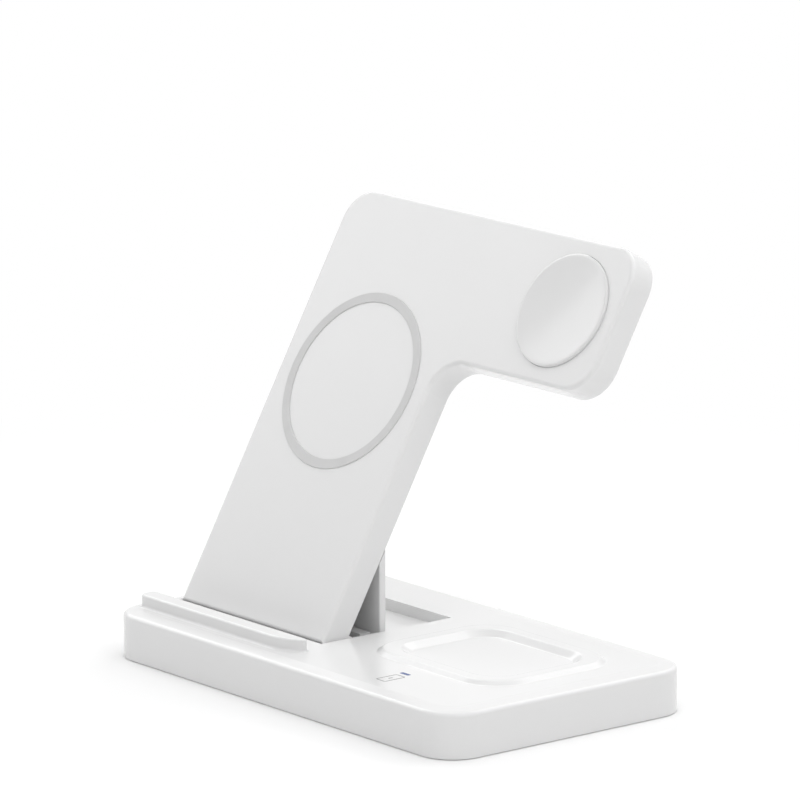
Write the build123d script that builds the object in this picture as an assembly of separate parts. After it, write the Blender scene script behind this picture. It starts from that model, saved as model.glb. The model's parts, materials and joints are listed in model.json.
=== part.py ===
from build123d import *
import math
import os

# A folding three-place wireless charger: a low base with a dish, a leaning stand with a side pad
# on an arm, and a prop behind the stand. The origin is the middle of the base on the surface it
# stands on, the stand faces -Y and the side pad is on +X. Millimetres and degrees.

# Base
base_depth = 78.4
base_height = 11.8  # from the lower rim of the cover to its flat top
base_corner_radius = 9.5
base_edge_round = 1.1
crown_rise = 0.4  # the border slopes up to the flat top by this much
crown_width = 4.8
base_lift = 0.2  # the feet hold the underside this far up
base_wall = 1.6
cover_gap = 0.15  # between the bottom cover and the walls round it
bottom_thickness = 1.6

# Stand
stand_width = 58.0
stand_side_margin = 3.6  # from the end of the base
stand_length = 113.4  # from the hinge to the top edge, along the slope
stand_thickness = 7.5
stand_lean = 29.5  # back from upright
stand_corner_radius = 9.0
front_edge_round = 1.0
rear_edge_round = 0.5
stand_wall = 1.6
front_wall = 1.5
rear_cover_thickness = 1.4
rear_cover_lip = 0.9  # what is left of the side wall round the rear cover
rear_cover_gap = 0.1
foot_drop = 2.6  # the stand reaches this far below its hinge, along the slope
foot_solid_height = 7.0  # the stand is solid round its hinge up to here

# Arm and side pad, one flag with the stand
flag_height = 38.4
flag_reach = 55.2  # beyond the stand's side
arm_inner_radius = 9.0

# Stand hinge
hinge_drop = 2.75  # below the flat top of the base
hinge_set_back = 2.25  # behind the rear face of the stand
heel_radius = 2.2
hinge_pin_diameter = 2.4
hinge_pin_in_base = 2.6
hinge_pin_in_stand = 8.0
sleeve_wall = 0.45
running_clearance = 0.05
seat_clearance = 0.02

# Prop
prop_spacing = 10.1  # behind the stand's hinge
prop_drop = 2.2
prop_thickness = 2.0
prop_barrel_radius = 1.3
prop_pin_diameter = 1.4
prop_pin_in_prop = 7.0
prop_edge_round = 0.4
prop_inset = 0.4  # each side of the prop stands in from the stand's side

# Recess in the base that the folded stand and prop lie in
side_gap = 0.4
swing_gap = 0.35  # between moving pieces and the recess
rest_gap = 0.3  # between the prop and the back of the stand
land_depth = 3.3
land_end_gap = 4.0
hinge_boss_length = 4.0
recess_edge = 0.4  # bevel along the upper edge of the recess

# Ledge in front of the stand
ledge_front_margin = 7.3  # from the front of the base
ledge_depth = 5.0
ledge_height = 3.3
ledge_left_overhang = 0.5  # past the side of the stand
ledge_right_overhang = 6.4
ledge_left_radius = 2.0
ledge_right_radius = 15.0  # of the bend from the front to the rear edge
ledge_rear_radius = 1.0
ledge_edge_round = 0.6
ledge_foot_round = 0.8
ledge_wall = 1.5
groove_width = 7.7  # between the ledge and the recess
seat_strip_width = 4.4
seat_strip_inset = 5.0
seat_strip_depth = 0.5
seat_strip_proud = 0.3
seat_strip_round = 0.2

# Dish
dish_side_margin = 11.8  # from the end of the base
dish_rear_margin = 12.1
dish_stand_gap = 11.2
dish_length = 51.0
dish_depth = 43.0
dish_corner_radius = 11.0
dish_rim_height = 1.0
dish_rim_slope = 1.4
dish_rim_width = 3.5
dish_rim_round = 0.8
dish_foot_round = 0.8
dish_floor_round = 1.0
dish_wall_slope = 2.4
dish_floor_drop = 0.4  # below the flat top of the base
coil_wire_height = 1.2
ferrite_thickness = 0.8
dish_coil_outer = 40.0
dish_coil_inner = 18.0
dish_ferrite_width = 42.0
dish_ferrite_depth = 36.0

# Indicator
light_front_gap = 5.9  # in front of the dish
light_length = 3.3
light_width = 1.2
light_flange = 0.9
light_flange_thickness = 0.8
led_height = 0.7
led_gap = 0.2

# Board, its parts and the inlet
board_stand_gap = 9.2
board_side_margin = 10.3
board_front_margin = 14.2
board_rear_margin = 2.6
board_thickness = 1.2
board_standoff = 1.2
board_post_inset = 5.0
board_post_diameter = 5.0
board_screw_diameter = 1.8
board_screw_head = 3.4
board_screw_head_height = 1.0
inductor_size = 6.0
inductor_height = 2.8
inductor_pitch = 9.0
capacitor_length = 3.2
capacitor_depth = 2.5
capacitor_height = 2.0
capacitor_pitch = 4.2
capacitor_count = 4
chip_size = 5.0
chip_height = 0.9
inlet_width = 8.9
inlet_height = 3.2
inlet_wall = 0.3
inlet_length = 7.4
inlet_set_in = 0.3
inlet_gap = 0.15
tongue_width = 6.6
tongue_thickness = 0.7
tongue_length = 5.2
inlet_back_length = 1.2

# Feet and screws under the base
foot_diameter = 10.0
foot_thickness = 1.2
foot_inset_x = 15.8
foot_inset_y = 9.5
screw_inset_x = 7.0
screw_inset_y = 7.4
screw_diameter = 2.2
screw_length = 7.0
screw_head_diameter = 4.2
screw_head_height = 1.0
screw_boss_diameter = 5.5

# Weight plate under the recess
ballast_thickness = 2.0
ballast_inset = 6.0  # from the sides of the recess
ballast_length = 44.0

# Inside the stand
stand_coil_outer = 44.0
stand_coil_inner = 20.0
stand_coil_height = 1.1
upper_coil_drop = 37.7  # below the top edge of the stand
coil_spacing = 24.0
stand_ferrite_width = 48.0
stand_ferrite_length = 72.0
ferrite_corner = 4.0
press_rib_width = 1.6
press_rib_length = 40.0
press_rib_pitch = 36.0
grip_ring_diameter = 48.0
grip_ring_width = 2.6
grip_ring_depth = 0.5
grip_ring_proud = 0.3
grip_ring_round = 0.2
stand_screw_diameter = 1.8
stand_screw_length = 4.2
stand_screw_head = 3.2
stand_screw_head_height = 0.8
stand_boss_diameter = 4.6
stand_boss_inset = 5.2

# Side pad
puck_inset = 19.2  # from the outer edge of the flag to the middle of the puck
puck_diameter = 30.0
puck_proud = 0.8
puck_hollow = 0.5
puck_edge_round = 0.4
puck_wall = 1.3
puck_side_wall = 1.5
puck_flange = 1.6
puck_gap = 0.1
side_coil_height = 1.0
side_coil_gap = 0.3
side_ferrite_height = 0.7
side_magnet_diameter = 11.0
side_board_thickness = 0.8
press_ring_diameter = 22.0

# Places that follow from the dimensions above
base_length = stand_side_margin + stand_width + dish_stand_gap + dish_length + dish_side_margin
base_top = base_lift + base_height
base_inner_top = base_top - base_wall
bottom_top = base_lift + bottom_thickness
stand_left = stand_side_margin - base_length / 2
stand_right = stand_left + stand_width
stand_center_x = (stand_left + stand_right) / 2
flag_right = stand_right + flag_reach
arm_bottom = stand_length - flag_height
stand_rear = hinge_set_back
stand_front = hinge_set_back + stand_thickness
hinge_z = base_top - hinge_drop
lean_sin = math.sin(math.radians(stand_lean))
lean_cos = math.cos(math.radians(stand_lean))
folded_rear_z = hinge_z + hinge_set_back
upper_coil_y = stand_length - upper_coil_drop
lower_coil_y = upper_coil_y - coil_spacing
coils_middle_y = (lower_coil_y + upper_coil_y) / 2

ledge_front_y = ledge_front_margin - base_depth / 2
well_front = ledge_front_y + ledge_depth + groove_width
hinge_y = well_front + side_gap + foot_drop * lean_sin + stand_front * lean_cos
prop_y = hinge_y + prop_spacing

prop_z = base_top - prop_drop
prop_left = stand_left + prop_inset
prop_right = stand_right - prop_inset

recess_left = stand_left - side_gap
recess_right = stand_right + side_gap
recess_floor = folded_rear_z - swing_gap
well_floor = hinge_z - heel_radius - swing_gap
land_rear = prop_y - prop_barrel_radius - rest_gap
land_front = land_rear - land_depth
pocket_floor = prop_z - prop_barrel_radius - rest_gap

dish_center_x = base_length / 2 - dish_side_margin - dish_length / 2
dish_center_y = base_depth / 2 - dish_rear_margin - dish_depth / 2
light_x = dish_center_x
light_y = dish_center_y - dish_depth / 2 - light_front_gap

board_left = stand_right + board_stand_gap
board_right = base_length / 2 - board_side_margin
board_front = board_front_margin - base_depth / 2
board_rear = base_depth / 2 - board_rear_margin
board_bottom = bottom_top + board_standoff
board_top = board_bottom + board_thickness
inlet_x = (board_left + board_right) / 2
inlet_mouth_y = base_depth / 2 - inlet_set_in
inlet_z = board_top + inlet_height / 2
puck_x = flag_right - puck_inset
puck_y = arm_bottom + flag_height / 2
cavity_front = stand_front - front_wall

# The stand lies flat in its own frame: X across, Y up the slope, Z out of its front, zero on the hinge
stand_frame = Plane(origin=(0, hinge_y, hinge_z), x_dir=(1, 0, 0), z_dir=(0, -lean_cos, lean_sin))


def on_stand(shape):
    """Moves a shape from the stand's own frame to its place on the base."""
    return stand_frame.location * shape


def block(x0, x1, y0, y1, z0, z1):
    """A box given by its faces."""
    return Pos((x0 + x1) / 2, (y0 + y1) / 2, (z0 + z1) / 2) * Box(x1 - x0, y1 - y0, z1 - z0)


def post(x, y, z0, z1, diameter):
    """An upright cylinder from z0 to z1."""
    return Pos(x, y, (z0 + z1) / 2) * Cylinder(diameter / 2, z1 - z0)


def cross_pin(x0, x1, y, z, diameter):
    """A cylinder along X from x0 to x1."""
    return Pos((x0 + x1) / 2, y, z) * Rot(0, 90, 0) * Cylinder(diameter / 2, x1 - x0)


def ring(x, y, z0, z1, outer, inner):
    """A flat ring from z0 to z1."""
    return Pos(x, y, z0) * extrude(Circle(outer / 2) - Circle(inner / 2), z1 - z0)


def tile(x, y, z0, z1, length, depth, radius):
    """A flat tile with rounded corners."""
    return Pos(x, y, z0) * extrude(RectangleRounded(length, depth, radius), z1 - z0)


def tapered_tile(x, y, z0, z1, length, depth, radius, inset):
    """A tile whose sides slope in by inset from z0 to z1; a negative inset slopes them out."""
    lower = Pos(x, y, z0) * RectangleRounded(length, depth, radius)
    upper = Pos(x, y, z1) * RectangleRounded(length - 2 * inset, depth - 2 * inset, radius - inset)
    return loft([lower, upper])


def base_places(inset_x, inset_y):
    """Four places set in from the ends and sides of the base."""
    x = base_length / 2 - inset_x
    y = base_depth / 2 - inset_y
    return [(-x, -y), (x, -y), (-x, y), (x, y)]


def base_screw_places():
    y = base_depth / 2 - screw_inset_y
    middle = (recess_right + base_wall + board_left) / 2
    return base_places(screw_inset_x, screw_inset_y) + [(middle, -y), (middle, y)]


def board_post_places():
    xs = (board_left + board_post_inset, board_right - board_post_inset)
    ys = (board_front + board_post_inset, board_rear - board_post_inset)
    return [(x, y) for x in xs for y in ys]


def stand_screw_places():
    """Screws of the rear cover, in the stand's frame."""
    left = stand_left + stand_boss_inset
    right = stand_right - stand_boss_inset
    low = foot_solid_height + stand_boss_inset
    high = stand_length - stand_boss_inset
    far = flag_right - stand_boss_inset
    under = arm_bottom + stand_boss_inset
    return [(left, low), (right, low), (left, high), (right, high), (far, high), (far, under)]


# Base


def base_outer():
    """The base as a closed block: upright sides, a rounded edge and a border that slopes up."""
    shoulder = base_top - crown_rise
    sides = tile(0, 0, base_lift, shoulder, base_length, base_depth, base_corner_radius)
    crown = tapered_tile(0, 0, shoulder, base_top, base_length, base_depth, base_corner_radius, crown_width)
    body = sides + crown
    edge = body.edges().filter_by_position(Axis.Z, shoulder - 0.01, shoulder + 0.01)
    return fillet(edge, base_edge_round)


def ledge_span():
    """Left and right ends of the ledge."""
    return stand_left - ledge_left_overhang, stand_right + ledge_right_overhang


def ledge_plan():
    """The ledge seen from above; its front bends round to the right end of its rear edge."""
    left, right = ledge_span()
    rear = ledge_front_y + ledge_depth
    bend = math.sqrt(ledge_right_radius**2 - (ledge_right_radius - ledge_depth) ** 2)
    turn = (right - bend, ledge_front_y)
    outline = Line((left, ledge_front_y), turn)
    outline += RadiusArc(turn, (right, rear), -ledge_right_radius)
    outline += Line((right, rear), (left, rear))
    outline += Line((left, rear), (left, ledge_front_y))
    plan = make_face(outline)
    corners = [
        (left, ledge_front_y, ledge_left_radius),
        (left, rear, ledge_left_radius),
        (right, rear, ledge_rear_radius),
    ]
    for x, y, radius in corners:
        plan = fillet(plan.vertices().sort_by_distance(Vector(x, y))[0], radius)
    return plan


def ledge():
    body = Pos(0, 0, base_inner_top) * extrude(ledge_plan(), base_top + ledge_height - base_inner_top)
    return fillet(body.faces().sort_by(Axis.Z)[-1].edges(), ledge_edge_round)


def ledge_core():
    """The ledge is hollow from below."""
    length = stand_width - ledge_right_radius
    width = ledge_depth - 2 * ledge_wall
    top = base_top + ledge_height - ledge_wall
    middle = ledge_front_y + ledge_depth / 2
    return tile(stand_center_x, middle, base_inner_top, top, length, width, width / 4)


def recess_tub():
    """The walls and floors round the stepped recess, before the recess is cut."""
    left = recess_left - base_wall
    right = recess_right + base_wall
    rear = base_depth / 2
    pocket = pocket_rear()
    tub = block(left, right, well_front - base_wall, land_rear, well_floor - base_wall, base_inner_top)
    tub += block(left, right, land_front, pocket + base_wall, pocket_floor - base_wall, base_inner_top)
    tub += block(left, right, well_front, rear, recess_floor - base_wall, base_inner_top)
    boss_low = well_floor - base_wall
    boss_right = recess_right + hinge_boss_length
    tub += block(recess_right, boss_right, well_front, pocket, boss_low, base_inner_top)
    return tub


def prop_length():
    """From the prop's pin to the middle of its top edge, just short of the back of the stand."""
    across = (prop_y - hinge_y) * lean_cos - (prop_z - hinge_z) * lean_sin + hinge_set_back
    return (across - rest_gap) / lean_sin


def prop_tip_slant():
    """Half the difference in height between the rear and front of the prop's slanted top edge."""
    return prop_thickness / 2 * lean_cos / lean_sin


def pocket_rear():
    return prop_y + prop_length() + prop_tip_slant() + swing_gap


def recess_cut():
    """What is cut out of the base: a shallow bed, the well of the stand's foot and the prop's pocket."""
    rear = base_depth
    top = base_top + base_height
    bed = Rectangle(recess_right - recess_left, rear - well_front)
    mouth = Rectangle(recess_right - recess_left + 2 * recess_edge, rear - well_front + 2 * recess_edge)
    middle = Pos(stand_center_x, (well_front + rear) / 2)
    bevel = loft([Pos(0, 0, base_top - recess_edge) * middle * bed, Pos(0, 0, base_top) * middle * mouth])
    cut = bevel + block(recess_left, recess_right, well_front, rear, recess_floor, top)
    cut += block(recess_left, recess_right, well_front, land_front, well_floor, top)
    cut += block(recess_left, recess_right, land_rear, pocket_rear(), pocket_floor, top)
    for x in (recess_left, recess_right - land_end_gap):
        cut += block(x, x + land_end_gap, land_front, land_rear, pocket_floor, top)
    return cut


def dish_rim():
    """A raised rim with sloping sides that starts inside the cover."""
    spread = dish_rim_slope * base_wall / dish_rim_height
    length = dish_length + 2 * spread
    depth = dish_depth + 2 * spread
    top = base_top + dish_rim_height
    rim = tapered_tile(dish_center_x, dish_center_y, base_inner_top, top, length, depth,
                       dish_corner_radius + spread, dish_rim_slope + spread)
    return fillet(rim.faces().sort_by(Axis.Z)[-1].edges(), dish_rim_round)


def dish_cut():
    inset = dish_rim_slope + dish_rim_width
    top = base_top + dish_rim_height
    floor = base_top - dish_floor_drop
    length = dish_length - 2 * inset - 2 * dish_wall_slope
    depth = dish_depth - 2 * inset - 2 * dish_wall_slope
    radius = dish_corner_radius - inset
    cut = tapered_tile(dish_center_x, dish_center_y, floor, top, length, depth, radius, -dish_wall_slope)
    return fillet(cut.faces().sort_by(Axis.Z)[0].edges(), dish_floor_round)


def edges_in(body, x0, x1, y0, y1, z0, z1):
    """Edges of a body whose middles lie in a box, with a little room round it."""
    edges = body.edges().filter_by_position(Axis.X, x0 - seat_clearance, x1 + seat_clearance)
    edges = edges.filter_by_position(Axis.Y, y0 - seat_clearance, y1 + seat_clearance)
    return edges.filter_by_position(Axis.Z, z0 - seat_clearance, z1 + seat_clearance)


def dish_edges(body, inset, z):
    """Edges at one height within the dish's plan, set in from its foot."""
    half_length = dish_length / 2 - inset
    half_depth = dish_depth / 2 - inset
    return edges_in(body, dish_center_x - half_length, dish_center_x + half_length,
                    dish_center_y - half_depth, dish_center_y + half_depth, z, z)


def base_with_ledge_and_dish():
    """The closed block with its ledge and dish, blended into the top by fillets."""
    left, right = ledge_span()
    ledge_rear = ledge_front_y + ledge_depth
    body = base_outer() + ledge()
    foot = edges_in(body, left, right, ledge_front_y, ledge_rear, base_top - crown_rise, base_top)
    body = fillet(foot, ledge_foot_round) + dish_rim()
    body = fillet(dish_edges(body, 0, base_top), dish_foot_round) - dish_cut()
    mouth = dish_edges(body, dish_rim_slope + dish_rim_width, base_top + dish_rim_height)
    return fillet(mouth, dish_rim_round)


def hinge_holes(cover):
    """Blind holes for the pins in both sides of the recess."""
    for y, z, diameter in ((hinge_y, hinge_z, hinge_pin_diameter), (prop_y, prop_z, prop_pin_diameter)):
        hole = diameter + 2 * seat_clearance
        cover -= cross_pin(recess_right, recess_right + hinge_pin_in_base, y, z, hole)
        cover -= cross_pin(recess_left - hinge_pin_in_base, recess_left, y, z, hole)
    return cover


def base_top_cover():
    inner_length = base_length - 2 * base_wall
    inner_depth = base_depth - 2 * base_wall
    inner_radius = base_corner_radius - base_wall
    cavity = tile(0, 0, base_lift, base_inner_top, inner_length, inner_depth, inner_radius)
    cover = base_with_ledge_and_dish() - cavity
    cover += recess_tub() & base_outer()
    for x, y in base_screw_places():
        cover += post(x, y, bottom_top, base_inner_top, screw_boss_diameter)
    cover -= ledge_core()
    cover -= recess_cut()
    cover = hinge_holes(cover)
    for x, y in base_screw_places():
        cover -= post(x, y, bottom_top, screw_tip(), screw_diameter + 2 * seat_clearance)
    cover -= light_pipe(base_inner_top, seat_clearance)
    cover -= seat_strip_solid(seat_clearance, base_top + seat_strip_proud)
    cover -= inlet_opening()
    return cover


def screw_tip():
    return base_lift + screw_head_height + screw_length


def inlet_opening():
    width = inlet_width + 2 * inlet_gap
    height = inlet_height + 2 * inlet_gap
    hole = extrude(RectangleRounded(width, height, height / 2 - inlet_gap), 2 * base_wall, both=True)
    return Pos(inlet_x, base_depth / 2, inlet_z) * Rot(90, 0, 0) * hole


def base_bottom_cover():
    inset = 2 * (base_wall + cover_gap)
    radius = base_corner_radius - base_wall - cover_gap
    cover = tile(0, 0, base_lift, bottom_top, base_length - inset, base_depth - inset, radius)
    for x, y in board_post_places():
        cover += post(x, y, bottom_top, board_bottom, board_post_diameter)
        cover -= post(x, y, bottom_top, board_bottom, board_screw_diameter + 2 * seat_clearance)
    for x, y in base_places(foot_inset_x, foot_inset_y):
        cover -= post(x, y, base_lift, foot_thickness, foot_diameter + 2 * seat_clearance)
    for x, y in base_screw_places():
        cover -= post(x, y, base_lift, base_lift + screw_head_height, screw_head_diameter + 2 * cover_gap)
        cover -= post(x, y, base_lift, bottom_top, screw_diameter + 2 * cover_gap)
    return cover


def base_feet():
    feet = []
    for x, y in base_places(foot_inset_x, foot_inset_y):
        foot = post(x, y, 0, foot_thickness, foot_diameter)
        feet.append(chamfer(foot.faces().sort_by(Axis.Z)[0].edges(), base_lift / 2))
    return Compound(children=feet)


def base_screws():
    screws = []
    for x, y in base_screw_places():
        head_top = base_lift + screw_head_height
        head = post(x, y, base_lift, head_top, screw_head_diameter)
        screws.append(head + post(x, y, head_top, screw_tip(), screw_diameter))
    return Compound(children=screws)


def ballast_plate():
    """A steel plate on the bottom cover that keeps the folded stand from tipping the base."""
    width = recess_right - recess_left - 2 * ballast_inset
    middle = well_front + ballast_inset + ballast_length / 2
    return tile(stand_center_x, middle, bottom_top, bottom_top + ballast_thickness, width, ballast_length,
                ferrite_corner)


def seat_strip_solid(grow, top):
    """A soft strip in the groove between the ledge and the stand."""
    middle = (ledge_front_y + ledge_depth + well_front) / 2
    length = stand_width - 2 * seat_strip_inset + 2 * grow
    width = seat_strip_width + 2 * grow
    bottom = base_top - seat_strip_depth
    return tile(stand_center_x, middle, bottom, top, length, width, seat_strip_width / 3 + grow)


def seat_strip():
    strip = seat_strip_solid(0, base_top + seat_strip_proud)
    return fillet(strip.faces().sort_by(Axis.Z)[-1].edges(), seat_strip_round)


def light_pipe(bottom, grow):
    """The slim upright part of the light guide, flush with the top of the base."""
    length = light_length + 2 * grow
    width = light_width + 2 * grow
    return tile(light_x, light_y, bottom, base_top, length, width, light_width / 4 + grow)


def light_bar():
    length = light_length + 2 * light_flange
    width = light_width + 2 * light_flange
    flange_bottom = base_inner_top - light_flange_thickness
    flange = tile(light_x, light_y, flange_bottom, base_inner_top, length, width, light_width / 4)
    return flange + light_pipe(led_top() + led_gap, 0)


def led_top():
    return board_top + led_height


def indicator_led():
    return board_part(light_x, light_y, light_length, 2 * light_width, led_height)


def dish_coil():
    coil_bottom = base_inner_top - coil_wire_height
    return ring(dish_center_x, dish_center_y, coil_bottom, base_inner_top, dish_coil_outer, dish_coil_inner)


def dish_ferrite():
    top = base_inner_top - coil_wire_height
    return tile(dish_center_x, dish_center_y, top - ferrite_thickness, top, dish_ferrite_width,
                dish_ferrite_depth, ferrite_corner)


def main_board():
    board = block(board_left, board_right, board_front, board_rear, board_bottom, board_top)
    for x, y in board_post_places():
        board -= post(x, y, board_bottom, board_top, board_screw_diameter + 2 * cover_gap)
    return board


def board_screws():
    screws = []
    for x, y in board_post_places():
        head = post(x, y, board_top, board_top + board_screw_head_height, board_screw_head)
        screws.append(head + post(x, y, bottom_top, board_top, board_screw_diameter))
    return Compound(children=screws)


def board_part(x, y, length, depth, height):
    return Pos(x, y, board_top + height / 2) * Box(length, depth, height)


def power_inductors():
    x = board_left + board_post_inset + inductor_pitch
    y = board_front + board_post_inset
    parts = []
    for step in range(2):
        coil = board_part(x, y + step * inductor_pitch, inductor_size, inductor_size, inductor_height)
        parts.append(chamfer(coil.edges().filter_by(Axis.Z), inductor_size / 8))
    return Compound(children=parts)


def filter_capacitors():
    x = board_right - board_post_inset - inductor_pitch
    y = board_rear - board_post_inset
    parts = []
    for step in range(capacitor_count):
        place_y = y - step * capacitor_pitch
        parts.append(board_part(x, place_y, capacitor_length, capacitor_depth, capacitor_height))
    return Compound(children=parts)


def controller_chip():
    x = (board_left + board_right) / 2
    y = (board_front + board_rear) / 2
    return board_part(x, y, chip_size, chip_size, chip_height)


def inlet_shell():
    """A flat oval tube, closed at the back, open to the rear of the base."""
    outer = RectangleRounded(inlet_width, inlet_height, inlet_height / 2 - inlet_wall)
    inner_height = inlet_height - 2 * inlet_wall
    inner = RectangleRounded(inlet_width - 2 * inlet_wall, inner_height, inner_height / 2 - inlet_wall)
    tube = extrude(outer, inlet_length) - extrude(inner, inlet_length - inlet_wall)
    return Pos(inlet_x, inlet_mouth_y, inlet_z) * Rot(90, 0, 0) * tube


def inlet_tongue():
    """The contact tongue on its block at the back of the shell."""
    back = inlet_mouth_y - inlet_length + inlet_wall
    half = tongue_width / 2
    thick = tongue_thickness / 2
    inner_height = inlet_height / 2 - inlet_wall - seat_clearance
    tip = back + inlet_back_length + tongue_length
    tongue = block(inlet_x - half, inlet_x + half, back, tip, inlet_z - thick, inlet_z + thick)
    return tongue + block(inlet_x - half, inlet_x + half, back, back + inlet_back_length,
                          inlet_z - inner_height, inlet_z + inner_height)


def side_pins(y, z, diameter, in_piece, piece_gap):
    """A pair of short pins, each pressed into one side of the recess."""
    right = cross_pin(recess_right - piece_gap - in_piece, recess_right + hinge_pin_in_base, y, z, diameter)
    left = cross_pin(recess_left - hinge_pin_in_base, recess_left + piece_gap + in_piece, y, z, diameter)
    return Compound(children=[left, right])


def stand_pins():
    return side_pins(hinge_y, hinge_z, hinge_pin_diameter, hinge_pin_in_stand, side_gap)


def prop_pins():
    return side_pins(prop_y, prop_z, prop_pin_diameter, prop_pin_in_prop, side_gap + prop_inset)


# Stand


def stand_plan():
    """The front of the stand: a tall plate and, at its top, the flag of the arm and side pad."""
    corners = [
        (stand_left, -foot_drop),
        (stand_right, -foot_drop),
        (stand_right, arm_bottom),
        (flag_right, arm_bottom),
        (flag_right, stand_length),
        (stand_left, stand_length),
    ]
    plan = make_face(Polyline(*corners, close=True))
    inner = plan.vertices().sort_by_distance(Vector(stand_right, arm_bottom))[0]
    plan = fillet(inner, arm_inner_radius)
    for corner in corners[3:]:
        plan = fillet(plan.vertices().sort_by_distance(Vector(*corner))[0], stand_corner_radius)
    return plan


def above_foot(low, margin):
    """A block that holds everything of the stand above its solid foot."""
    return block(stand_left, flag_right, low, stand_length, stand_rear - margin, stand_front + margin)


def stand_inside(inset, z0, z1, low):
    """A slab of the stand's plan, set in from its sides and ended above the foot."""
    slab = Pos(0, 0, z0) * extrude(offset(stand_plan(), -inset, kind=Kind.ARC), z1 - z0)
    return slab & above_foot(low, stand_thickness)


def sleeve_outer():
    return hinge_pin_diameter + 2 * (running_clearance + sleeve_wall)


def sleeve_span(side):
    """Where a hinge sleeve lies along X, on the left (-1) or right (1) of the stand."""
    if side < 0:
        return stand_left, stand_left + hinge_pin_in_stand
    return stand_right - hinge_pin_in_stand, stand_right


def stand_front_cover():
    """Front wall, side walls, solid foot and hinge heel of the stand in one moulding."""
    body = Pos(0, 0, stand_rear) * extrude(stand_plan(), stand_thickness)
    body = fillet(body.faces().sort_by(Axis.Z)[-1].edges(), front_edge_round)
    rear_edges = body.faces().sort_by(Axis.Z)[0].edges()
    body = fillet(rear_edges.filter_by_position(Axis.Y, heel_radius, stand_length), rear_edge_round)
    rear_cover_top = stand_rear + rear_cover_thickness
    body -= stand_inside(rear_cover_lip, stand_rear, rear_cover_top, foot_solid_height)
    seat = rear_cover_lip + stand_wall
    body -= stand_inside(stand_wall, rear_cover_top, cavity_front, foot_solid_height + seat)
    for x, y in stand_screw_places():
        body += post(x, y, rear_cover_top, cavity_front, stand_boss_diameter)
    for x, y in stand_screw_places():
        body -= post(x, y, rear_cover_top, stand_screw_tip(), stand_screw_diameter + 2 * seat_clearance)
    heel = block(stand_left, stand_right, -heel_radius, heel_radius, 0, stand_rear + rear_edge_round)
    body += heel + cross_pin(stand_left, stand_right, 0, 0, 2 * heel_radius)
    for side in (-1, 1):
        start, end = sleeve_span(side)
        body -= cross_pin(start, end, 0, 0, sleeve_outer() + 2 * seat_clearance)
    body -= grip_ring_solid(seat_clearance)
    body -= post(puck_x, puck_y, cavity_front, stand_front, puck_diameter + 2 * puck_gap)
    return on_stand(body)


def stand_screw_tip():
    return stand_rear + stand_screw_length


def stand_rear_cover():
    """A flat lid let into the back, with ribs that press on the coils inside."""
    low = foot_solid_height + rear_cover_gap
    top = stand_rear + rear_cover_thickness
    lid = stand_inside(rear_cover_lip + rear_cover_gap, stand_rear, top, low)
    left = stand_center_x - press_rib_length / 2
    right = stand_center_x + press_rib_length / 2
    half = press_rib_width / 2
    for step in (-1, 1):
        y = coils_middle_y + step * press_rib_pitch / 2
        lid += block(left, right, y - half, y + half, top, stand_ferrite_rear())
    press_ring_inner = press_ring_diameter - 2 * press_rib_width
    lid += ring(puck_x, puck_y, top, side_board_rear(), press_ring_diameter, press_ring_inner)
    head_top = stand_rear + stand_screw_head_height
    for x, y in stand_screw_places():
        lid -= post(x, y, stand_rear, head_top, stand_screw_head + 2 * seat_clearance)
        lid -= post(x, y, stand_rear, top, stand_screw_diameter + 2 * seat_clearance)
    return on_stand(lid)


def stand_screws():
    screws = []
    for x, y in stand_screw_places():
        head_top = stand_rear + stand_screw_head_height
        head = post(x, y, stand_rear, head_top, stand_screw_head)
        screws.append(on_stand(head + post(x, y, head_top, stand_screw_tip(), stand_screw_diameter)))
    return Compound(children=screws)


def hinge_sleeves():
    sleeves = []
    for side in (-1, 1):
        start, end = sleeve_span(side)
        tube = cross_pin(start, end, 0, 0, sleeve_outer())
        bore = cross_pin(start, end, 0, 0, hinge_pin_diameter + 2 * running_clearance)
        sleeves.append(on_stand(tube - bore))
    return Compound(children=sleeves)


def stand_coil(y, front):
    """One flat coil of the stand, wound behind the given front face."""
    rear = front - stand_coil_height
    return on_stand(ring(stand_center_x, y, rear, front, stand_coil_outer, stand_coil_inner))


def lower_coil():
    return stand_coil(lower_coil_y, cavity_front)


def upper_coil():
    return stand_coil(upper_coil_y, cavity_front - stand_coil_height)


def stand_ferrite_rear():
    return cavity_front - 2 * stand_coil_height - ferrite_thickness


def stand_ferrite():
    rear = stand_ferrite_rear()
    front = rear + ferrite_thickness
    width = stand_ferrite_width
    length = stand_ferrite_length
    return on_stand(tile(stand_center_x, coils_middle_y, rear, front, width, length, ferrite_corner))


def grip_ring_solid(grow):
    inner = grip_ring_diameter - 2 * grip_ring_width
    bottom = stand_front - grip_ring_depth
    top = stand_front + grip_ring_proud
    outer = grip_ring_diameter + 2 * grow
    return ring(stand_center_x, coils_middle_y, bottom, top, outer, inner - 2 * grow)


def grip_ring():
    strip = grip_ring_solid(0)
    return on_stand(fillet(strip.faces().sort_by(Axis.Z)[-1].edges(), grip_ring_round))


# Side pad, stacked from its front


def side_coil_front():
    return stand_front + puck_proud - puck_wall


def side_board_front():
    return side_coil_front() - side_coil_height - side_ferrite_height


def side_board_rear():
    return side_board_front() - side_board_thickness


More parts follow.
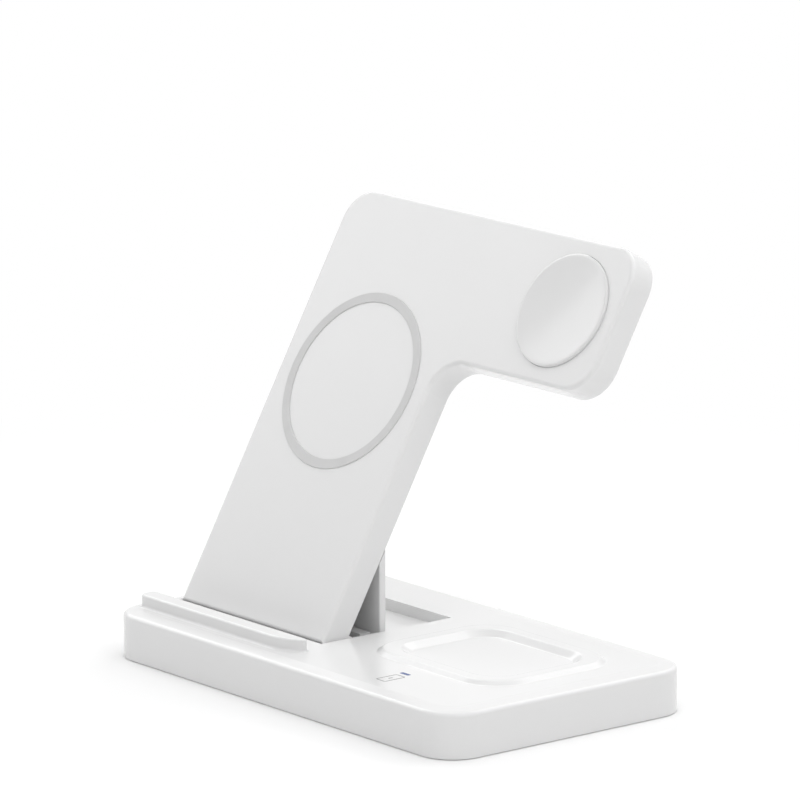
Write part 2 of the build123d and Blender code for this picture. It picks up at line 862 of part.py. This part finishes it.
def side_puck():
    """A round cap with a hollowed face and a flange that holds it behind the front wall."""
    top = stand_front + puck_proud
    under = side_board_front()
    cap = post(puck_x, puck_y, under, top, puck_diameter)
    cap += post(puck_x, puck_y, under, cavity_front, puck_diameter + 2 * puck_flange)
    cap -= post(puck_x, puck_y, under, side_coil_front(), puck_diameter - 2 * puck_side_wall)
    reach = (puck_diameter - puck_side_wall) / 2
    bowl = (reach ** 2 + puck_hollow ** 2) / (2 * puck_hollow)
    cap -= Pos(puck_x, puck_y, top - puck_hollow + bowl) * Sphere(bowl)
    rim = cap.edges().filter_by(GeomType.CIRCLE).group_by(Axis.Z)[-1].sort_by(SortBy.RADIUS)[-1]
    return on_stand(fillet(rim, puck_edge_round))


def side_ring(rear, front):
    """A flat ring inside the puck, round the magnet."""
    outer = puck_diameter - 2 * puck_side_wall - 2 * side_coil_gap
    inner = side_magnet_diameter + 2 * side_coil_gap
    return on_stand(ring(puck_x, puck_y, rear, front, outer, inner))


def side_coil():
    return side_ring(side_coil_front() - side_coil_height, side_coil_front())


def side_ferrite():
    return side_ring(side_board_front(), side_coil_front() - side_coil_height)


def side_magnet():
    return on_stand(post(puck_x, puck_y, side_board_front(), side_coil_front(), side_magnet_diameter))


def side_board():
    return on_stand(post(puck_x, puck_y, side_board_rear(), side_board_front(), puck_diameter))


# Prop


def prop_panel():
    """An upright panel on a slim barrel, its top edge cut to the slope of the stand."""
    half = prop_thickness / 2
    tip = prop_length()
    slant = prop_tip_slant()
    corners = [(-half, 0), (half, 0), (half, tip + slant), (-half, tip - slant)]
    section = make_face(Polyline(*corners, close=True)) + Circle(prop_barrel_radius)
    body = extrude(Plane.YZ * section, prop_right - prop_left)
    body = Pos(prop_left, prop_y, prop_z) * body
    body = fillet(body.edges().filter_by(Axis.Z), prop_edge_round)
    bore = prop_pin_diameter + 2 * running_clearance
    depth = prop_pin_in_prop + running_clearance
    body -= cross_pin(prop_right - depth, prop_right, prop_y, prop_z, bore)
    body -= cross_pin(prop_left, prop_left + depth, prop_y, prop_z, bore)
    return body


pieces = [
    base_top_cover, base_bottom_cover, base_feet, base_screws, ballast_plate, seat_strip,
    light_bar, indicator_led, dish_coil, dish_ferrite, main_board, board_screws, power_inductors,
    filter_capacitors, controller_chip, inlet_shell, inlet_tongue, stand_pins, prop_pins,
    stand_front_cover, stand_rear_cover, stand_screws, hinge_sleeves, lower_coil, upper_coil,
    stand_ferrite, grip_ring, side_puck, side_coil, side_ferrite, side_magnet, side_board,
    prop_panel,
]

os.makedirs("parts", exist_ok=True)
for piece in pieces:
    export_step(piece(), f"parts/{piece.__name__}.step")
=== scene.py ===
"""Finishes, small pieces, light and camera for the folding charging stand. Metres."""

import json
import math

import bmesh
import bpy
from mathutils import Matrix, Vector


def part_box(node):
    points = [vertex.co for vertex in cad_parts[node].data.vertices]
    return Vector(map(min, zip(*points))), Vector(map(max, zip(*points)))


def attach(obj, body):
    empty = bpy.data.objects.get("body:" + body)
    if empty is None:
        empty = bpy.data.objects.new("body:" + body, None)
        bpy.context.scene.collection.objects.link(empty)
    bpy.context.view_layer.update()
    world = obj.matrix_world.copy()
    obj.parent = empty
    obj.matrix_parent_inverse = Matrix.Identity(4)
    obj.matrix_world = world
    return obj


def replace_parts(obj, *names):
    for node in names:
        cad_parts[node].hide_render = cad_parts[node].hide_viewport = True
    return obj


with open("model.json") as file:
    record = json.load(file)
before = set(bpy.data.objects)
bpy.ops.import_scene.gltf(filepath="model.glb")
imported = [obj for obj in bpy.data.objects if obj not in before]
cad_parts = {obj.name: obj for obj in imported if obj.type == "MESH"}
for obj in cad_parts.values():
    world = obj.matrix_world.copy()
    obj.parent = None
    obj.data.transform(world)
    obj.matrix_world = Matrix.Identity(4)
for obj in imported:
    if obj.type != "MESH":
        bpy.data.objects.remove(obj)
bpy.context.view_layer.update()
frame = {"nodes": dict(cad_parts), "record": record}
nodes = frame["nodes"]

mm = 0.001


# Shader maths

mix_amount, mix_low, mix_high, mix_result = 0, 6, 7, 2  # sockets of a Mix node that mixes colours


class Wire:
    """One socket of a finish, joined to others by ordinary arithmetic."""

    def __init__(self, finish, socket):
        self.finish = finish
        self.socket = socket

    def _math(self, operation, first, second):
        return self.finish.node("ShaderNodeMath", {"operation": operation}, {0: first, 1: second})

    def __add__(self, other):
        return self._math("ADD", self, other)

    def __radd__(self, other):
        return self._math("ADD", other, self)

    def __mul__(self, other):
        return self._math("MULTIPLY", self, other)

    def __rmul__(self, other):
        return self._math("MULTIPLY", other, self)


class Tree:
    """A node tree under construction."""

    def __init__(self, tree):
        self.tree = tree

    def feed(self, socket, value):
        """Links a wire to a socket, or sets a plain value on it."""
        if isinstance(value, Wire):
            self.tree.links.new(value.socket, socket)
        else:
            socket.default_value = value

    def node(self, kind, settings=None, values=None, output=0):
        """Adds a node, first its settings, then the values or links of its sockets."""
        made = self.tree.nodes.new(kind)
        for name, value in (settings or {}).items():
            setattr(made, name, value)
        for name, value in (values or {}).items():
            self.feed(made.inputs[name], value)
        return Wire(self, made.outputs[output])

    def seen(self):
        """1 for what is looked at straight, in a reflection or through something clear, else 0."""
        rays = [self.node("ShaderNodeLightPath", output=f"Is {kind} Ray")
                for kind in ("Camera", "Glossy", "Transmission")]
        return rays[0] + rays[1] + rays[2]


class Finish(Tree):
    """A material under construction: a principled surface and the nodes that feed it."""

    def __init__(self, name, **constants):
        self.material = bpy.data.materials.new(name)
        self.material.use_nodes = True
        super().__init__(self.material.node_tree)
        self.tree.nodes.clear()
        self.surface = self.tree.nodes.new("ShaderNodeBsdfPrincipled")
        self.end = self.tree.nodes.new("ShaderNodeOutputMaterial")
        self.tree.links.new(self.surface.outputs[0], self.end.inputs["Surface"])
        for socket, value in constants.items():
            self.surface.inputs[socket.replace("_", " ")].default_value = value
        self.place = self.node("ShaderNodeTexCoord", output="Object")

    def noise(self, size, detail=2.0):
        """Soft noise from 0 to 1 whose lumps are about this many metres across."""
        values = {"Vector": self.place, "Scale": 1 / size, "Detail": detail}
        return self.node("ShaderNodeTexNoise", None, values)

    def blend(self, amount, low, high):
        """A colour between two, by amount."""
        values = {mix_amount: amount, mix_low: low, mix_high: high}
        return self.node("ShaderNodeMix", {"data_type": "RGBA"}, values, output=mix_result)

    def colour(self, amount, low, high):
        self.feed(self.surface.inputs["Base Color"], self.blend(amount, low, high))

    def glow(self, amount, low, high):
        self.feed(self.surface.inputs["Emission Color"], self.blend(amount, low, high))

    def roughness(self, value):
        self.feed(self.surface.inputs["Roughness"], value)

    def relief(self, height, depth, strength):
        """Bump of this depth in metres."""
        values = {"Height": height, "Distance": depth, "Strength": strength}
        self.feed(self.surface.inputs["Normal"], self.node("ShaderNodeBump", None, values))


def grey(value):
    """A neutral linear colour."""
    return (value, value, value, 1.0)


# Finishes


def moulded_white(name, light, dark, smooth):
    """White moulded plastic: faint flow clouding under an uneven gloss."""
    finish = Finish(name, IOR=1.45)
    cloud = finish.noise(60 * mm)
    skin = finish.noise(1.5 * mm, detail=3.0)
    finish.colour(cloud, light, dark)
    finish.roughness(smooth + 0.04 * cloud + 0.03 * skin)
    finish.relief(skin, 0.004 * mm, 0.2)
    return finish.material


def soft_silicone():
    """Matte silicone that picks up a little dust."""
    finish = Finish("soft_silicone", IOR=1.41, Sheen_Weight=0.15)
    dust = finish.noise(6 * mm, detail=4.0)
    skin = finish.noise(0.2 * mm)
    finish.colour(dust, grey(0.66), grey(0.6))
    finish.roughness(0.55 + 0.15 * dust)
    finish.relief(skin, 0.015 * mm, 0.4)
    return finish.material


def foot_rubber():
    """Dark rubber with a dull bloom."""
    finish = Finish("foot_rubber", IOR=1.5)
    bloom = finish.noise(4 * mm, detail=4.0)
    finish.colour(bloom, grey(0.035), grey(0.06))
    finish.roughness(0.7 + 0.2 * bloom)
    finish.relief(finish.noise(0.3 * mm), 0.03 * mm, 0.5)
    return finish.material


def drawn_metal(name, low, high):
    """Plated metal with fine drawn lines along X."""
    finish = Finish(name, Metallic=1.0)
    stretched = finish.node("ShaderNodeMapping", None, {"Vector": finish.place, "Scale": (0.05, 1.0, 1.0)})
    values = {"Vector": stretched, "Scale": 1 / (0.15 * mm), "Detail": 2.0}
    lines = finish.node("ShaderNodeTexNoise", None, values)
    finish.colour(lines, low, high)
    finish.roughness(0.22 + 0.16 * lines)
    finish.relief(lines, 0.005 * mm, 0.3)
    return finish.material


def wound_copper():
    """Enamelled wire laid side by side."""
    finish = Finish("wound_copper", Metallic=0.9, Coat_Weight=0.4)
    rings = {"wave_type": "RINGS", "rings_direction": "SPHERICAL"}
    values = {"Vector": finish.place, "Scale": 160.0, "Distortion": 0.4}
    strands = finish.node("ShaderNodeTexWave", rings, values)
    finish.colour(strands, (0.28, 0.1, 0.03, 1), (0.6, 0.27, 0.1, 1))
    finish.roughness(0.25 + 0.2 * strands)
    finish.relief(strands, 0.1 * mm, 0.6)
    return finish.material


def pressed_ferrite():
    """Dark, grainy pressed powder."""
    finish = Finish("pressed_ferrite")
    grain = finish.noise(0.8 * mm, detail=5.0)
    finish.colour(grain, grey(0.012), grey(0.03))
    finish.roughness(0.5 + 0.25 * grain)
    finish.relief(grain, 0.03 * mm, 0.5)
    return finish.material


def board_mask():
    """Green lacquer over faint copper runs."""
    finish = Finish("board_mask", Coat_Weight=0.3)
    runs = finish.node("ShaderNodeTexBrick", {"offset": 0.5}, {
        "Vector": finish.place, "Scale": 1 / (6 * mm), "Color1": (0.012, 0.07, 0.03, 1),
        "Color2": (0.016, 0.09, 0.04, 1), "Mortar": (0.03, 0.16, 0.07, 1), "Mortar Size": 0.04})
    finish.feed(finish.surface.inputs["Base Color"], runs)
    finish.roughness(0.3 + 0.15 * finish.noise(3 * mm))
    return finish.material


def grained_resin(name, low, high):
    """Moulded resin or ceramic with a fine grain."""
    finish = Finish(name)
    grain = finish.noise(0.5 * mm, detail=3.0)
    finish.colour(grain, low, high)
    finish.roughness(0.4 + 0.2 * grain)
    finish.relief(grain, 0.02 * mm, 0.4)
    return finish.material


def lit_guide():
    """Blue light guide, uneven like diffusing plastic."""
    finish = Finish("lit_guide", Emission_Strength=0.5)
    swirl = finish.noise(1.2 * mm)
    finish.colour(swirl, (0.008, 0.024, 0.09, 1), (0.012, 0.034, 0.12, 1))
    finish.glow(swirl, (0.01, 0.045, 0.2, 1), (0.016, 0.065, 0.27, 1))
    finish.roughness(0.2 + 0.1 * swirl)
    return finish.material


def pale_ink():
    """Pad-printed grey ink with a slightly uneven film."""
    finish = Finish("pale_ink")
    film = finish.noise(0.25 * mm, detail=3.0)
    finish.colour(film, grey(0.17), grey(0.24))
    finish.roughness(0.45 + 0.15 * film)
    return finish.material


puck_white = moulded_white("puck_white", grey(0.76), grey(0.74), 0.1)
steel = drawn_metal("plated_steel", grey(0.42), grey(0.6))
gold = drawn_metal("contact_gold", (0.62, 0.4, 0.13, 1), (0.8, 0.55, 0.2, 1))
acetal = grained_resin("acetal", grey(0.6), grey(0.66))
ink = pale_ink()

finish_of = {
    "white_plastic": moulded_white("white_moulding", grey(0.8), grey(0.775), 0.14),
    "puck_plastic": puck_white,
    "soft_grip": soft_silicone(),
    "foot_rubber": foot_rubber(),
    "steel": steel,
    "magnet": drawn_metal("bright_plate", grey(0.55), grey(0.7)),
    "black_plastic": grained_resin("black_resin", grey(0.012), grey(0.025)),
    "capacitor": grained_resin("tan_ceramic", (0.2, 0.12, 0.06, 1), (0.27, 0.17, 0.09, 1)),
    "sleeve": acetal,
    "indicator": lit_guide(),
    "lamp": acetal,
    "copper": wound_copper(),
    "ferrite": pressed_ferrite(),
    "board": board_mask(),
}
for part in frame["record"]["subparts"]:
    for slot in nodes[part["node"]].material_slots:
        slot.material = finish_of[part["material_slot"]]


# Pieces

crease = math.radians(30)  # edges that turn more than this stay sharp
weld = 0.001 * mm  # points closer than this are one
corner_segments = 6


def new_piece(name, bm, body, finish):
    """Turns a finished bmesh into a piece of the object that rides on a body."""
    bmesh.ops.recalc_face_normals(bm, faces=bm.faces)
    mesh = bpy.data.meshes.new(name)
    bm.to_mesh(mesh)
    bm.free()
    mesh.shade_smooth()
    mesh.set_sharp_from_angle(angle=crease)
    piece = bpy.data.objects.new(name, mesh)
    bpy.context.scene.collection.objects.link(piece)
    mesh.materials.append(finish)
    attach(piece, body)
    return piece


def points_of(made):
    """The vertices among what an operator made."""
    return [part for part in made["geom"] if isinstance(part, bmesh.types.BMVert)]


def rounded_plate(bm, width, length, corner, at):
    """A flat rounded rectangle with its middle at a point; gives its one face."""
    made = bmesh.ops.create_grid(bm, x_segments=1, y_segments=1, size=0.5)
    bmesh.ops.scale(bm, vec=(width, length, 1), verts=made["verts"])
    bmesh.ops.translate(bm, vec=at, verts=made["verts"])
    bmesh.ops.bevel(bm, geom=made["verts"], offset=corner, affect="VERTICES", segments=corner_segments,
                    profile=0.5, material=-1)
    return bm.faces[:][-1]


def thicken(bm, faces, rise):
    """Makes a closed film out of flat faces."""
    made = bmesh.ops.extrude_face_region(bm, geom=faces)
    bmesh.ops.translate(bm, vec=(0, 0, rise), verts=points_of(made))


def islands(node):
    """The corners of each separate solid of a CAD node."""
    bm = bmesh.new()
    bm.from_mesh(nodes[node].data)
    bmesh.ops.remove_doubles(bm, verts=bm.verts, dist=weld)
    reached = set()
    groups = []
    for first in bm.verts:
        if first in reached:
            continue
        reached.add(first)
        group = [first]
        for point in group:
            near = [edge.other_vert(point) for edge in point.link_edges]
            fresh = [other for other in near if other not in reached]
            reached.update(fresh)
            group.extend(fresh)
        groups.append([point.co.copy() for point in group])
    bm.free()
    return groups


def seat(corners, outward):
    """Where a round piece sits: the placement of its outer end, with +Z outward, and its length."""
    turn = outward.to_track_quat("Z", "Y").to_matrix()
    local = [turn.transposed() @ corner for corner in corners]
    low = Vector([min(corner[i] for corner in local) for i in range(3)])
    high = Vector([max(corner[i] for corner in local) for i in range(3)])
    middle = Vector(((low.x + high.x) / 2, (low.y + high.y) / 2, high.z))
    return Matrix.Translation(turn @ middle) @ turn.to_4x4(), high.z - low.z


# Printed mark beside the light

light_low, light_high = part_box("light_bar")
mark_width = 3.7 * mm
mark_length = 6.7 * mm
mark_corner = 0.6 * mm
mark_line = 0.3 * mm
mark_film = 0.02 * mm
mark_right = 0.78 * mm  # from the middle of the light
mark_front = 3.75 * mm  # from the front of the light to the middle of the mark
dash_width = 0.4 * mm
dash_length = 1.3 * mm
dash_corner = 0.12 * mm
mark_middle = Vector(((light_low.x + light_high.x) / 2 + mark_right, light_low.y - mark_front, light_high.z))


def handset_mark():
    """Outline of a plain upright handset, printed on the base."""
    bm = bmesh.new()
    face = rounded_plate(bm, mark_width, mark_length, mark_corner, mark_middle)
    bmesh.ops.inset_region(bm, faces=[face], thickness=mark_line, use_even_offset=True, use_boundary=True)
    bmesh.ops.delete(bm, geom=[face], context="FACES_ONLY")
    thicken(bm, bm.faces[:], mark_film)
    new_piece("handset_mark", bm, "base", ink)


def charge_mark():
    """A short dash in the middle of the handset."""
    bm = bmesh.new()
    face = rounded_plate(bm, dash_width, dash_length, dash_corner, mark_middle)
    thicken(bm, [face], mark_film)
    new_piece("charge_mark", bm, "base", ink)


handset_mark()
charge_mark()


# Screws with a cross recess

lean = math.radians(29.5)
base_under = Vector((0, 0, -1))
stand_rear = Vector((0, math.cos(lean), -math.sin(lean)))
stand_front = -stand_rear

base_screw_head = 4.2 * mm
base_screw_head_height = 1.0 * mm
base_screw_shank = 2.2 * mm
stand_screw_head = 3.2 * mm
stand_screw_head_height = 0.8 * mm
stand_screw_shank = 1.8 * mm
head_cells = 7  # squares across the grid that a head is shaped from
round_share = 0.3  # of the head's width: points further out lie on circles
cross_share = 0.33  # of the head's width: squares whose middles lie nearer are in the cross
cross_depth = 0.6  # of the head's height
tip_share = 0.35  # of the shank's width: the blunt tip


def in_cross(face, head):
    """Whether a square of the head lies in one of the four arms of the cross."""
    middle = face.calc_center_median()
    on_arm = min(abs(middle.x), abs(middle.y)) < head / head_cells / 2
    return on_arm and middle.length < cross_share * head


def cross_screw(bm, corners, outward, head, head_height, shank):
    """A screw as large as a plain one: its head is level with the plain one and has a cross in it."""
    place, length = seat(corners, outward)
    verts = bmesh.ops.create_grid(bm, x_segments=head_cells, y_segments=head_cells, size=head / 2)["verts"]
    for vert in verts:
        reach = max(abs(vert.co.x), abs(vert.co.y))
        if reach > round_share * head:
            vert.co *= reach / vert.co.length
    on_head = set(verts)
    cross = [face for face in bm.faces if on_head.issuperset(face.verts) and in_cross(face, head)]
    rim = [edge for edge in bm.edges if edge.is_boundary]
    for scale, drop in ((1, head_height), (shank / head, 0), (1, length - head_height), (tip_share, 0)):
        made = bmesh.ops.extrude_edge_only(bm, edges=rim)
        rim = [part for part in made["geom"] if isinstance(part, bmesh.types.BMEdge)]
        moved = points_of(made)
        bmesh.ops.scale(bm, vec=(scale, scale, 1), verts=moved)
        bmesh.ops.translate(bm, vec=(0, 0, -drop), verts=moved)
        verts = verts + moved
    bmesh.ops.contextual_create(bm, geom=rim)
    sunk = points_of(bmesh.ops.extrude_face_region(bm, geom=cross))
    bmesh.ops.translate(bm, vec=(0, 0, -cross_depth * head_height), verts=sunk)
    bmesh.ops.delete(bm, geom=cross, context="FACES_ONLY")
    bmesh.ops.transform(bm, matrix=place, verts=verts + sunk)


def cross_screws(name, node, body, outward, head, head_height, shank):
    """One piece with a cross screw for each plain screw of a node."""
    bm = bmesh.new()
    for corners in islands(node):
        cross_screw(bm, corners, outward, head, head_height, shank)
    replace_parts(new_piece(name, bm, body, steel), node)


cross_screws("base_cross_screws", "base_screws", "base", base_under,
             base_screw_head, base_screw_head_height, base_screw_shank)
cross_screws("stand_cross_screws", "stand_screws", "stand", stand_rear,
             stand_screw_head, stand_screw_head_height, stand_screw_shank)


# Cap of the side pad

puck_radius = 15.0 * mm
puck_hollow = 0.5 * mm
puck_land = 0.75 * mm  # from the hollow to the outside
puck_edge_round = 0.4 * mm
puck_wall = 1.3 * mm
puck_side_wall = 1.5 * mm
puck_flange = 1.6 * mm
puck_flange_height = 0.7 * mm
hollow_steps = 16
edge_steps = 5
turn_steps = 96


def hollow_puck():
    """The pad's cap, turned in one profile: a shallow hollow, a rounded rim, a flange and a cup behind."""
    place, height = seat(islands("side_puck")[0], stand_front)
    reach = puck_radius - puck_land
    bowl = (reach ** 2 + puck_hollow ** 2) / (2 * puck_hollow)
    bm = bmesh.new()
    middle = bm.verts.new((0, 0, -puck_hollow))
    bmesh.ops.spin(bm, geom=[middle], cent=(0, 0, bowl - puck_hollow), axis=(0, -1, 0),
                   angle=math.asin(reach / bowl), steps=hollow_steps)
    hollow_edge = max(bm.verts, key=lambda vert: vert.co.x)
    rim = bm.verts.new((puck_radius, 0, 0))
    flange = puck_radius + puck_flange
    flange_drop = height - puck_flange_height
    inner = puck_radius - puck_side_wall
    rest = ((puck_radius, flange_drop), (flange, flange_drop), (flange, height),
            (inner, height), (inner, puck_wall), (0, puck_wall))
    profile = [hollow_edge, rim] + [bm.verts.new((radius, 0, -drop)) for radius, drop in rest]
    for first, second in zip(profile, profile[1:]):
        bm.edges.new((first, second))
    bmesh.ops.bevel(bm, geom=[rim], offset=puck_edge_round, affect="VERTICES", segments=edge_steps,
                    profile=0.5, material=-1)
    bmesh.ops.spin(bm, geom=bm.verts[:] + bm.edges[:], cent=(0, 0, 0), axis=(0, 0, 1), angle=math.tau,
                   steps=turn_steps, use_merge=True)
    bmesh.ops.remove_doubles(bm, verts=bm.verts, dist=weld)
    bmesh.ops.transform(bm, matrix=place, verts=bm.verts)
    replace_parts(new_piece("hollow_puck", bm, "stand", puck_white), "side_puck")


hollow_puck()


# Contacts of the power inlet

contact_count = 12
contact_pitch = 0.5 * mm
contact_width = 0.26 * mm
contact_length = 3.6 * mm
contact_corner = 0.1 * mm
contact_film = 0.02 * mm
contact_set_back = 2.3 * mm  # from the tongue's end to the middle of the strips
tongue_half = 0.35 * mm  # from the tongue's middle to a face with contacts


def inlet_contacts():
    """Gilt strips on both faces of the tongue in the inlet."""
    low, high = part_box("inlet_tongue")
    bm = bmesh.new()
    for side in (1, -1):
        for index in range(contact_count):
            x = (low.x + high.x) / 2 + (index - (contact_count - 1) / 2) * contact_pitch
            at = (x, high.y - contact_set_back, (low.z + high.z) / 2 + side * tongue_half)
            face = rounded_plate(bm, contact_width, contact_length, contact_corner, at)
            thicken(bm, [face], side * contact_film)
    new_piece("inlet_contacts", bm, "base", gold)


inlet_contacts()


# Floor, light and camera

floor_half = 8.0
clear_ring = 0.12  # the floor's own shading shows within this distance
white_ring = 0.32  # beyond this one it is plain white where it is seen
room_light = 0.32  # strength of the white room where it only lights
light_aim = Vector((0.0, 0.0, 0.05))
camera_place = Vector((1.2652, -1.0234, 0.4310))
camera_aim = Vector((-0.7589, 0.6146, -0.2152))
camera_lens = 302.04  # millimetres, like the sensor's width
camera_sensor = 36.0
camera_far = 50.0


def studio_floor():
    """A wide pale floor: it keeps the object's shadow and fades to plain white further out."""
    finish = Finish("studio_floor", Specular_IOR_Level=0.1)
    finish.colour(finish.noise(0.8), grey(0.92), grey(0.9))
    finish.roughness(0.9 + 0.05 * finish.noise(0.3))
    glow = finish.node("ShaderNodeEmission", None, {"Color": grey(1.0), "Strength": 1.0})
    distance = finish.node("ShaderNodeVectorMath", {"operation": "LENGTH"}, {0: finish.place},
                           output="Value")
    fade = finish.node("ShaderNodeMapRange", {"interpolation_type": "SMOOTHSTEP"},
                       {"Value": distance, "From Min": clear_ring, "From Max": white_ring})
    shading = Wire(finish, finish.surface.outputs[0])
    mixed = finish.node("ShaderNodeMixShader", None, {0: finish.seen() * fade, 1: shading, 2: glow})
    finish.feed(finish.end.inputs["Surface"], mixed)
    bm = bmesh.new()
    bmesh.ops.create_grid(bm, x_segments=1, y_segments=1, size=floor_half)
    mesh = bpy.data.meshes.new("studio_floor")
    bm.to_mesh(mesh)
    bm.free()
    floor = bpy.data.objects.new("studio_floor", mesh)
    mesh.materials.append(finish.material)
    bpy.context.scene.collection.objects.link(floor)


def studio_world():
    """A white room that lights the scene only softly."""
    world = bpy.data.worlds.new("studio_room")
    bpy.context.scene.world = world
    world.use_nodes = True
    room = Tree(world.node_tree)
    room.tree.nodes.clear()
    light = room.node("ShaderNodeBackground", None, {"Color": grey(1.0), "Strength": room_light})
    wall = room.node("ShaderNodeBackground", None, {"Color": grey(1.0), "Strength": 1.0})
    mixed = room.node("ShaderNodeMixShader", None, {0: room.seen(), 1: light, 2: wall})
    end = room.tree.nodes.new("ShaderNodeOutputWorld")
    room.feed(end.inputs["Surface"], mixed)


def soft_light(name, place, width, height, power):
    """A flat soft box that faces the object."""
    lamp = bpy.data.lights.new(name, "AREA")
    lamp.shape = "RECTANGLE"
    lamp.size = width
    lamp.size_y = height
    lamp.energy = power
    box = bpy.data.objects.new(name, lamp)
    box.location = place
    box.rotation_euler = (light_aim - Vector(place)).to_track_quat("-Z", "Y").to_euler()
    bpy.context.scene.collection.objects.link(box)


def photo_camera():
    """A long lens from the front right, a little above the object."""
    lens = bpy.data.cameras.new("photo_camera")
    lens.sensor_width = camera_sensor
    lens.lens = camera_lens
    lens.clip_end = camera_far
    camera = bpy.data.objects.new("photo_camera", lens)
    camera.location = camera_place
    camera.rotation_euler = camera_aim.to_track_quat("-Z", "Y").to_euler()
    bpy.context.scene.collection.objects.link(camera)
    bpy.context.scene.camera = camera


studio_floor()
studio_world()
soft_light("top_box", (0.1, 0.1, 2.0), width=2.4, height=2.4, power=17.5)
soft_light("left_box", (-1.46, 0.0, 1.1), width=2.0, height=0.75, power=10)
soft_light("rear_box", (0.1, 1.32, 1.25), width=2.0, height=0.75, power=11)
soft_light("right_box", (1.4, 0.0, 1.3), width=1.2, height=1.2, power=6.6)
soft_light("front_box", (0.4, -1.4, 1.3), width=1.4, height=1.4, power=6.8)
photo_camera()
bpy.context.scene.view_settings.view_transform = "Standard"
